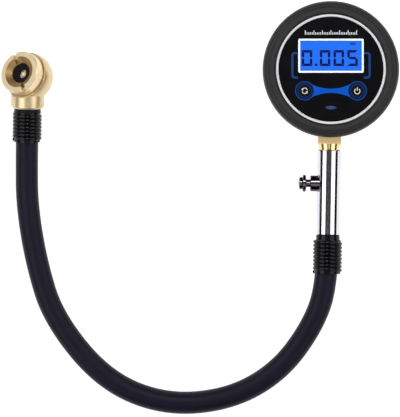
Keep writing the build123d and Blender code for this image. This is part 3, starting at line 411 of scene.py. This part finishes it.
# Display: its glow's middle, half sizes and the width of the shadow at its edge, in millimetres
display = {
    "centre": (0, 7.4), "half": (16.95, 8.3), "blue": "#1c70f7", "edge": "#1148b8",
    "shade": 0.5, "glow": 1.0,
}

# backlit liquid crystal cell: an even blue glow that falls off in the mask's shadow
displayBlue, tree, shader, mm = startMaterial("backlitCell", "#03081c", roughness=0.22)
parts = addNode(tree, "ShaderNodeSeparateXYZ", {"Vector": mm})
rims = []
for axisName, middle, half in zip("XY", display["centre"], display["half"]):
    fromMiddle = addNode(tree, "ShaderNodeMath", {0: parts.outputs[axisName], 1: middle},
                         operation="SUBTRACT")
    reach = addNode(tree, "ShaderNodeMath", {0: fromMiddle.outputs[0]}, operation="ABSOLUTE")
    rims.append(addNode(tree, "ShaderNodeMath", {0: half, 1: reach.outputs[0]},
                        operation="SUBTRACT"))
nearest = addNode(tree, "ShaderNodeMath", {0: rims[0].outputs[0], 1: rims[1].outputs[0]},
                  operation="MINIMUM")
glow = addNode(tree, "ShaderNodeMapRange", {
    "Value": nearest.outputs[0], "From Max": display["shade"],
})
lit = addNode(tree, "ShaderNodeMix", {
    "Factor": glow.outputs["Result"],
    6: linearColour(display["edge"]), 7: linearColour(display["blue"]),
}, data_type="RGBA")
lightUp(displayBlue, lit.outputs[2], display["glow"])
dress(displayBlue, "display_glass")

# moulded white plastic: satin, with a little of the backlight's blue shining through it
mask = {"low": "#d9e8f2", "high": "#e6f2fb", "glow": "#d5eaff", "glowStrength": 0.25}
maskWhite = mouldedMaterial(
    "mouldedMaskWhite", mask["low"], mask["high"], roughness=0.4, grain=0.5, depth=0.004
)
lightUp(maskWhite, mask["glow"], mask["glowStrength"])
dress(maskWhite, "display_frame", "display_light_box", "status_lamp")

# dark crystal: the segments hide the glow, so they keep only a trace of its blue
segmentNavy = mouldedMaterial(
    "darkSegments", "#020546", "#040a58", roughness=0.5, grain=0.6, depth=0.002, sheen=0.1
)
dress(segmentNavy, "display_segments")
print("display lit")


# Light guide and print, in millimetres; the guide is the same left and right
keyPlace = {"left": -14.45, "right": 14.45, "y": -11.9}
guide = {
    "ring": 5.25, "band": "#0549ac", "annulus": "#061b40", "line": "#1b4794",
    "sheen": 0.1, "glow": 0.26,
    # what stands at each share of the ring's radius, from the key outwards
    "stops": (
        (0.64, "annulus"), (0.665, "line"), (0.70, "annulus"),
        (0.93, "annulus"), (0.955, "line"), (0.985, "line"),
    ),
}

# blue acrylic, lit dimly from behind: bright in the band, dark round the keys, fine outlines
guideBlue, tree, shader, mm = startMaterial("litBlueAcrylic", "#071c40", roughness=0.3)
shader.inputs["Specular IOR Level"].default_value = guide["sheen"]
parts = addNode(tree, "ShaderNodeSeparateXYZ", {"Vector": mm})
mirrored = addNode(tree, "ShaderNodeMath", {0: parts.outputs["X"]}, operation="ABSOLUTE")
fromKey = addNode(tree, "ShaderNodeCombineXYZ", {
    "X": addNode(tree, "ShaderNodeMath", {0: mirrored.outputs[0], 1: keyPlace["right"]},
                 operation="SUBTRACT").outputs[0],
    "Y": addNode(tree, "ShaderNodeMath", {0: parts.outputs["Y"], 1: keyPlace["y"]},
                 operation="SUBTRACT").outputs[0],
})
keyDistance = addNode(tree, "ShaderNodeVectorMath", {0: fromKey.outputs[0]}, operation="LENGTH")
share = addNode(tree, "ShaderNodeMath", {0: keyDistance.outputs["Value"], 1: guide["ring"]},
                operation="DIVIDE")
zones = addNode(tree, "ShaderNodeValToRGB", {"Fac": share.outputs[0]})
ramp = zones.color_ramp
while len(ramp.elements) < len(guide["stops"]):
    ramp.elements.new(1.0)
for element, (place, tone) in zip(ramp.elements, guide["stops"]):
    element.position = place
    element.color = linearColour(guide[tone])
inBand = addNode(tree, "ShaderNodeMath", {0: share.outputs[0], 1: 1.0}, operation="GREATER_THAN")
colour = addNode(tree, "ShaderNodeMix", {
    "Factor": inBand.outputs[0], 6: zones.outputs["Color"], 7: linearColour(guide["band"]),
}, data_type="RGBA")
tree.links.new(colour.outputs[2], shader.inputs["Base Color"])
lightUp(guideBlue, colour.outputs[2], guide["glow"])
dress(guideBlue, "light_guide")

# blue ink, screen printed: flat, and it lets a little of the backlight through
ink = {"low": "#0a2a5c", "high": "#0e3268", "glow": "#173d78", "glowStrength": 0.4}
inkBlue = mouldedMaterial(
    "blueInk", ink["low"], ink["high"], roughness=0.4, grain=0.5, depth=0.002, sheen=0.15
)
lightUp(inkBlue, ink["glow"], ink["glowStrength"])
dress(inkBlue, "face_brackets")

# clear blue lens: brightest in its middle, where the lamp sits behind it; the bright spot is
# wider than high, and fades out at its reach
lens = {
    "middle": (0, -0.0212, 0), "squeeze": (0.42, 1.1, 0.0), "reach": 1.3,
    "bright": "#305595", "dark": "#0a2456", "glow": 0.8,
}
lensBlue, tree, shader, mm = startMaterial(
    "blueLens", "#0a1a38", roughness=0.25, centre=lens["middle"]
)
fromLamp = addNode(tree, "ShaderNodeVectorMath", {0: mm, 1: lens["squeeze"]}, operation="MULTIPLY")
away = addNode(tree, "ShaderNodeVectorMath", {0: fromLamp.outputs[0]}, operation="LENGTH")
fade = addNode(tree, "ShaderNodeMapRange", {
    "Value": away.outputs["Value"], "From Max": lens["reach"],
})
spot = addNode(tree, "ShaderNodeMix", {
    "Factor": fade.outputs["Result"],
    6: linearColour(lens["bright"]), 7: linearColour(lens["dark"]),
}, data_type="RGBA")
lightUp(lensBlue, spot.outputs[2], lens["glow"])
dress(lensBlue, "status_lens")

# soft-touch rubber: the keys are black and dry, with hardly any sheen
keyBlack = mouldedMaterial(
    "softTouchKey", "#040406", "#070709", roughness=0.5, grain=0.4, depth=0.008, sheen=0.12
)
dress(keyBlack, "mode_key", "power_key")
print("keys and guide dressed")


# Printed marks: ticks over the display, a symbol on each key and a battery level
# white ink, screen printed: flat and even, hardly shiny
inkWhite = mouldedMaterial("whiteInk", "#dfe0e2", "#f0f0f0", roughness=0.5, grain=0.5, depth=0.002)
ticks = {
    "Count": 31, "Spacing": 0.00094, "Width": 0.00040, "Short": 0.0013, "Long": 0.0024,
    "Every": 5, "Thickness": 0.0001,
}
ticksPlace = (0.0, 0.0190, 0.03341)  # the middle of the row's base line

tickTree, size = startTree("tickRow", ticks)
lastTick = addNode(tickTree, "ShaderNodeMath", {0: size["Count"], 1: 1.0}, operation="SUBTRACT")
rowLength = addNode(tickTree, "ShaderNodeMath", {0: lastTick.outputs[0], 1: size["Spacing"]},
                    operation="MULTIPLY")
rowStart = addNode(tickTree, "ShaderNodeMath", {0: rowLength.outputs[0], 1: -0.5},
                   operation="MULTIPLY")
firstPlace = addNode(tickTree, "ShaderNodeCombineXYZ", {"X": rowStart.outputs[0]})
row = addNode(tickTree, "GeometryNodeMeshLine", {
    "Count": size["Count"],
    "Start Location": firstPlace.outputs[0],
    "Offset": addNode(tickTree, "ShaderNodeCombineXYZ", {"X": size["Spacing"]}).outputs[0],
})
tickIndex = addNode(tickTree, "GeometryNodeInputIndex")
remainder = addNode(tickTree, "ShaderNodeMath", {0: tickIndex.outputs[0], 1: size["Every"]},
                    operation="MODULO")
isLong = addNode(tickTree, "ShaderNodeMath", {0: remainder.outputs[0], 1: 0.5},
                 operation="LESS_THAN")
extra = addNode(tickTree, "ShaderNodeMath", {0: size["Long"], 1: size["Short"]},
                operation="SUBTRACT")
tickHeight = addNode(tickTree, "ShaderNodeMath", {
    0: isLong.outputs[0], 1: extra.outputs[0], 2: size["Short"],
}, operation="MULTIPLY_ADD")
tickScale = addNode(tickTree, "ShaderNodeCombineXYZ", {
    "X": size["Width"], "Y": tickHeight.outputs[0], "Z": size["Thickness"],
})
unitBlock = addNode(tickTree, "GeometryNodeMeshCube", {"Size": (1, 1, 1)})
# the block stands on its lower edge, so the ticks share a base line
footed = addNode(tickTree, "GeometryNodeTransform", {
    "Geometry": unitBlock.outputs[0], "Translation": (0, 0.5, 0),
})
tickCopies = addNode(tickTree, "GeometryNodeInstanceOnPoints", {
    "Points": row.outputs[0], "Instance": footed.outputs[0], "Scale": tickScale.outputs[0],
})
endTree(tickTree, tickCopies.outputs[0], inkWhite)
tickMesh = growMesh(tickTree, ticks)
tickMesh.transform(Matrix.Translation(ticksPlace))
addPiece("scaleTicks", tickMesh, inkWhite, "gauge")


def flatStroke(shapes, height, thickness):
    # raises flat outlines, each a list of points in millimetres, into one thin printed mesh;
    # its height and thickness are in metres
    work = bmesh.new()
    for outline in shapes:
        rims = [
            [work.verts.new((x / 1000, y / 1000, level)) for x, y in outline]
            for level in (height, height + thickness)
        ]
        work.faces.new(reversed(rims[0]))
        work.faces.new(rims[1])
        for place in range(len(outline)):
            after = (place + 1) % len(outline)
            work.faces.new((rims[0][place], rims[0][after], rims[1][after], rims[1][place]))
    bmesh.ops.triangulate(work, faces=[face for face in work.faces if len(face.verts) > 4])
    bmesh.ops.recalc_face_normals(work, faces=work.faces)
    mesh = bpy.data.meshes.new("print")
    work.to_mesh(mesh)
    work.free()
    return mesh


def arcStroke(x, y, radius, width, start, end, steps=20):
    # the outline of an arc of even width, from start to end in degrees
    turns = [radians(start + (end - start) * step / steps) for step in range(steps + 1)]
    outer = [(x + (radius + width / 2) * cos(a), y + (radius + width / 2) * sin(a)) for a in turns]
    inner = [(x + (radius - width / 2) * cos(a), y + (radius - width / 2) * sin(a)) for a in turns]
    return outer + inner[::-1]


def barStroke(x, y, width, height):
    # the outline of a bar round its middle
    return [(x - width / 2, y - height / 2), (x + width / 2, y - height / 2),
            (x + width / 2, y + height / 2), (x - width / 2, y + height / 2)]


# what the symbols on both keys share; their arcs run between angles in degrees
symbol = {"radius": 1.5, "line": 0.4, "top": 0.0341, "thickness": 0.00008}

# power: a ring open at the top, with a bar in the gap
power = {"arcFrom": 130, "arcTo": 410, "arcDrop": 0.2, "barRise": 0.95, "barHeight": 1.9}
keyX, keyY = keyPlace["right"], keyPlace["y"]
powerShapes = [
    arcStroke(keyX, keyY - power["arcDrop"], symbol["radius"], symbol["line"],
              power["arcFrom"], power["arcTo"]),
    barStroke(keyX, keyY + power["barRise"], symbol["line"], power["barHeight"]),
]
powerMesh = flatStroke(powerShapes, symbol["top"], symbol["thickness"])
addPiece("powerSymbol", powerMesh, inkWhite, "power_key")

# mode: two arrows that chase each other round
cycle = {"arcFrom": (20, 200), "arcSpan": 120, "headWidth": 0.62, "headTurn": 42}
keyX = keyPlace["left"]
cycleShapes = []
for start in cycle["arcFrom"]:
    end = start + cycle["arcSpan"]
    cycleShapes.append(arcStroke(keyX, keyY, symbol["radius"], symbol["line"], start, end))
    # an arrow head: two corners on the arc's end, and its tip further round
    cycleShapes.append([
        (keyX + reach * cos(radians(turn)), keyY + reach * sin(radians(turn)))
        for reach, turn in (
            (symbol["radius"] + cycle["headWidth"], end),
            (symbol["radius"], end + cycle["headTurn"]),
            (symbol["radius"] - cycle["headWidth"], end),
        )
    ])
modeMesh = flatStroke(cycleShapes, symbol["top"], symbol["thickness"])
addPiece("modeSymbol", modeMesh, inkWhite, "mode_key")

# battery level: a frame of four lines, the cell's stud, and three full bars
level = {
    "x": 11.8, "y": 14.0, "width": 2.6, "height": 1.1, "line": 0.22,
    "studGap": 0.25, "studWidth": 0.28, "studHeight": 0.5,
    "bars": (-0.7, 0.0, 0.7), "barWidth": 0.45, "barHeight": 0.6,
    "top": 0.0332, "thickness": 0.00012,
}
levelShapes = [
    barStroke(level["x"], level["y"] + side * level["height"] / 2, level["width"], level["line"])
    for side in (1, -1)
]
levelShapes += [
    barStroke(level["x"] + side * level["width"] / 2, level["y"], level["line"], level["height"])
    for side in (-1, 1)
]
levelShapes.append(barStroke(
    level["x"] + level["width"] / 2 + level["studGap"], level["y"],
    level["studWidth"], level["studHeight"],
))
levelShapes += [
    barStroke(level["x"] + offset, level["y"], level["barWidth"], level["barHeight"])
    for offset in level["bars"]
]
levelMesh = flatStroke(levelShapes, level["top"], level["thickness"])
addPiece("batteryLevel", levelMesh, segmentNavy, "gauge")
print("marks printed")


# Stem, valve and chuck
# hard chrome on turned brass: a mirror with the faintest of lathe lines
stemChrome = turnedMaterial(
    "brightChrome", "#d6d5dd", "#e0dfe6", roughness=0.09, pitch=0.25,
    centre=stemMiddle, axis=stemDirection, depth=0.0006,
)
dress(stemChrome, "stem_tube")

# black nickel on the valve: nearly as smooth as the chrome, but dark between the lamps
valveNickel = turnedMaterial(
    "blackNickel", "#565257", "#625d62", roughness=0.12, pitch=0.2,
    centre=valveMiddle, axis=valveDirection, depth=0.001,
)
dress(valveNickel, "bleed_boss", "bleed_button")

# turned brass: pale gold, with tool rings round the stem's axis; the block keeps the bar stock's
# dull drawn flats, and only the cone below it is turned bright
port = {
    "blockEnd": 41.12,
    "turned": {"Roughness": 0.2, "Metallic": 1.0}, "drawn": {"Roughness": 0.55, "Metallic": 0.1},
}
portBrass = turnedMaterial(
    "turnedPortBrass", "#f8d394", "#fddfa6", roughness=port["turned"]["Roughness"], pitch=0.3,
    centre=stemMiddle, axis=stemDirection,
)
tree = portBrass.node_tree
shader = tree.nodes["Principled BSDF"]
mm = tree.nodes["millimetres"].outputs["Vector"]
along = addNode(tree, "ShaderNodeSeparateXYZ", {"Vector": mm})
isBlock = addNode(tree, "ShaderNodeMath", {0: along.outputs["Z"], 1: port["blockEnd"]},
                  operation="LESS_THAN")
for socket in ("Roughness", "Metallic"):
    finish = addNode(tree, "ShaderNodeMix", {
        "Factor": isBlock.outputs[0], 2: port["turned"][socket], 3: port["drawn"][socket],
    })
    tree.links.new(finish.outputs[0], shader.inputs[socket])
dress(portBrass, "gauge_port", "port_nut", "gauge_barb")

# the chuck's brass: less yellow than the port's, its ball and collar polished after turning
chuckBrass = turnedMaterial(
    "polishedChuckBrass", "#cdb384", "#e9d6b1", roughness=0.37, pitch=0.3,
    centre=chuckMiddle, axis=chuckDirection, metallic=0.95,
)
dress(chuckBrass, "chuck_body", "chuck_barb")

# the ring's brass: turned and pale; its funnel, dull as bored and from the valves, is painted
# darker as painted shade in the hollow
chuckRing = {
    "funnelRadius": 8.85, "shadedFunnelLow": "#8a6c45", "shadedFunnelHigh": "#a48757", "boredRoughness": 0.44,
    "boredStains": 3.0,
}
ringBrass = turnedMaterial(
    "turnedRingBrass", "#efd7aa", "#fbe8c2", roughness=0.36, pitch=0.25,
    centre=ballMiddle, axis=mouthDirection, metallic=0.7,
)
tree = ringBrass.node_tree
shader = tree.nodes["Principled BSDF"]
mm = tree.nodes["millimetres"].outputs["Vector"]
fromAxis = addNode(tree, "ShaderNodeVectorMath", {0: mm, 1: (1, 1, 0)}, operation="MULTIPLY")
axisDistance = addNode(tree, "ShaderNodeVectorMath", {0: fromAxis.outputs[0]}, operation="LENGTH")
# inside the funnel the colour turns to darker browns: painted shade for the hollow, with a random
# mottle
inFunnel = addNode(tree, "ShaderNodeMath", {
    0: axisDistance.outputs["Value"], 1: chuckRing["funnelRadius"],
}, operation="LESS_THAN")
stain = addNode(tree, "ShaderNodeTexNoise", {
    "Vector": mm, "Scale": 1 / chuckRing["boredStains"], "Detail": 3,
})
# the funnel's darker tones are painted shade
funnelShadeTone = addNode(tree, "ShaderNodeMix", {
    "Factor": stain.outputs["Fac"],
    6: linearColour(chuckRing["shadedFunnelLow"]), 7: linearColour(chuckRing["shadedFunnelHigh"]),
}, data_type="RGBA")
ringTone = addNode(tree, "ShaderNodeMix", {
    "Factor": inFunnel.outputs[0],
    6: shader.inputs["Base Color"].links[0].from_socket, 7: funnelShadeTone.outputs[2],
}, data_type="RGBA")
ringGloss = addNode(tree, "ShaderNodeMix", {
    "Factor": inFunnel.outputs[0],
    2: shader.inputs["Roughness"].links[0].from_socket, 3: chuckRing["boredRoughness"],
})
tree.links.new(ringTone.outputs[2], shader.inputs["Base Color"])
tree.links.new(ringGloss.outputs[0], shader.inputs["Roughness"])
dress(ringBrass, "chuck_ring")

# the pin's brass: painted pale and bright, as painted light where it sits in the funnel's shade
pinBrass = turnedMaterial(
    "paintedBrightPinBrass", "#fce6ba", "#ffeccb", roughness=0.3, pitch=0.2,
    centre=ballMiddle, axis=mouthDirection, metallic=0.3,
)
dress(pinBrass, "depressor_pin")

# the poppet's brass: turned and left so, a duller gold than the port
poppetBrass = turnedMaterial(
    "turnedPoppetBrass", "#cdb07c", "#dcc291", roughness=0.3, pitch=0.2,
    centre=valveMiddle, axis=valveDirection,
)
dress(poppetBrass, "bleed_poppet")

# nitrile seals: dead black, smooth
sealBlack = mouldedMaterial(
    "nitrileSeal", "#08080a", "#0d0d0f", roughness=0.45, grain=0.5, depth=0.004, sheen=0.15
)
dress(sealBlack, "chuck_gasket", "chuck_washer", "stem_o_ring", "bleed_seal")
print("metal dressed")


# What the case hides, and the fastenings on its back
# zinc plate on steel, with a slightly milky surface
screwZinc = turnedMaterial(
    "zincPlate", "#a9abb0", "#bfc1c5", roughness=0.32, pitch=0.2, centre=(0, 0, 0), axis=(0, 0, 1)
)
dress(screwZinc, "door_screw", "case_screws")

# nickel plate on pressed strip: a warm grey
contactNickel = turnedMaterial(
    "nickelStrip", "#b5b0a6", "#c8c3b8", roughness=0.3, pitch=0.4, centre=(0, 0, 0), axis=(1, 0, 0)
)
dress(contactNickel, "battery_contacts")

# stainless steel, drawn into a can: a cool light grey
sensorSteel = turnedMaterial(
    "stainlessCan", "#b0b1b4", "#c5c6c9", roughness=0.28, pitch=0.2,
    centre=stemMiddle, axis=stemDirection,
)
dress(sensorSteel, "pressure_sensor")

# spring steel, drawn into wire: plain grey and a little darker than the can
springWire = turnedMaterial(
    "springWire", "#9fa0a4", "#b4b5b8", roughness=0.3, pitch=0.3,
    centre=valveMiddle, axis=valveDirection,
)
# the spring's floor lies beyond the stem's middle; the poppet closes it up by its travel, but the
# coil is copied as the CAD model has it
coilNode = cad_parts["bleed_spring"]
coilMesh = coilNode.data.copy()
coilMesh.transform(coilNode.matrix_world)
coil = addPiece("closingSpring", coilMesh, springWire, "gauge")
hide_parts("bleed_spring")
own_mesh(coil)

# solder mask over glass fibre: dark green with a weave too fine to show singly
boardGreen = mouldedMaterial(
    "solderMask", "#0d3a20", "#14502c", roughness=0.35, grain=0.8, depth=0.01
)
dress(boardGreen, "main_board")

# a dry cell's printed jacket: steel grey with a gold band at the nub's end
cell = {"grey": "#3a3b40", "gold": "#b08a3c", "bandFrom": 14.0}
for side, end in (("upper", 1), ("lower", -1)):
    jacket, tree, shader, mm = startMaterial(f"{side}CellJacket", cell["grey"], roughness=0.35)
    parts = addNode(tree, "ShaderNodeSeparateXYZ", {"Vector": mm})
    towards = addNode(tree, "ShaderNodeMath", {0: parts.outputs["X"], 1: end}, operation="MULTIPLY")
    band = addNode(tree, "ShaderNodeMath", {0: towards.outputs[0], 1: cell["bandFrom"]},
                   operation="GREATER_THAN")
    wrap = addNode(tree, "ShaderNodeMix", {
        "Factor": band.outputs[0], 6: linearColour(cell["grey"]), 7: linearColour(cell["gold"]),
    }, data_type="RGBA")
    tree.links.new(wrap.outputs[2], shader.inputs["Base Color"])
    dress(jacket, f"{side}_cell")
print("hidden pieces dressed")


# Table: opal acrylic lit from below, so that no shadow on it turns grey
table = {"half": 3.0, "drop": 0.00002, "white": "#aaaaaa", "sheen": 0.2, "glow": 0.82}

tableMesh = bpy.data.meshes.new("table")
corners = [
    (x * table["half"], y * table["half"], -table["drop"])
    for x, y in ((-1, -1), (1, -1), (1, 1), (-1, 1))
]
tableMesh.from_pydata(corners, [], [(0, 1, 2, 3)])
tableWhite = startMaterial("opalTable", table["white"], roughness=0.7)[0]
shader = tableWhite.node_tree.nodes["Principled BSDF"]
shader.inputs["Specular IOR Level"].default_value = table["sheen"]
lightUp(tableWhite, "#ffffff", table["glow"])
tableMesh.materials.append(tableWhite)
tableObject = bpy.data.objects.new("table", tableMesh)
scene.collection.objects.link(tableObject)


# Studio: a long soft box on each side, dark above and at the horizon, and two small lamps at
# the ends, which the valve reflects and the stem doesn't. Each lamp has its angle from
# straight above and its heading in degrees, its sizes in metres and its power in watts
lampDistance = 1.3
lamps = {
    "rightBox": {"zenith": 44.0, "heading": 0, "width": 0.84, "length": 2.6, "power": 13.0},
    "leftBox": {"zenith": 44.0, "heading": 180, "width": 0.84, "length": 2.6, "power": 15.5},
    "topLamp": {"zenith": 27.0, "heading": 90, "width": 0.25, "length": 0.3, "power": 4.5},
    "lowLamp": {"zenith": 20.0, "heading": 270, "width": 0.8, "length": 0.2, "power": 0.7},
}

for name, lamp in lamps.items():
    lightData = bpy.data.lights.new(name, "AREA")
    lightData.shape = "RECTANGLE"
    lightData.size, lightData.size_y = lamp["width"], lamp["length"]
    lightData.energy = lamp["power"]
    light = bpy.data.objects.new(name, lightData)
    zenith, heading = radians(lamp["zenith"]), radians(lamp["heading"])
    away = Vector((sin(zenith) * cos(heading), sin(zenith) * sin(heading), cos(zenith)))
    place = Vector((*camera["centre"], 0)) + away * lampDistance
    # it faces the middle of the view, its length across its heading
    across = Vector((0, 0, 1)).cross(away).normalized()
    turn = Matrix((across.cross(away) * -1, across, away)).transposed().to_4x4()
    light.matrix_world = Matrix.Translation(place) @ turn
    scene.collection.objects.link(light)

# the studio's dark room, with a faint grey ceiling straight above: it starts at one height
# of a ray's direction and is at its brightest from the other
room = {
    "wallGlow": 0.012, "ceilingGlow": 0.07, "ceilingFrom": 0.6, "ceilingTo": 0.97,
    "tint": (0.95, 0.94, 1, 1), "backdrop": 0.8,
}
world = bpy.data.worlds.new("darkStudio")
world.use_nodes = True
tree = world.node_tree
upward = addNode(tree, "ShaderNodeSeparateXYZ", {
    "Vector": addNode(tree, "ShaderNodeTexCoord").outputs["Generated"],
})
ceiling = addNode(tree, "ShaderNodeMapRange", {
    "Value": upward.outputs["Z"],
    "From Min": room["ceilingFrom"], "From Max": room["ceilingTo"],
    "To Min": room["wallGlow"], "To Max": room["ceilingGlow"],
})
# a camera that looks along the table sees a pale backdrop, which lights nothing
backdrop = addNode(tree, "ShaderNodeMix", {
    "Factor": addNode(tree, "ShaderNodeLightPath").outputs["Is Camera Ray"],
    2: ceiling.outputs["Result"], 3: room["backdrop"],
})
tree.nodes["Background"].inputs["Color"].default_value = room["tint"]
tree.links.new(backdrop.outputs[0], tree.nodes["Background"].inputs["Strength"])
scene.world = world
print("studio lit")
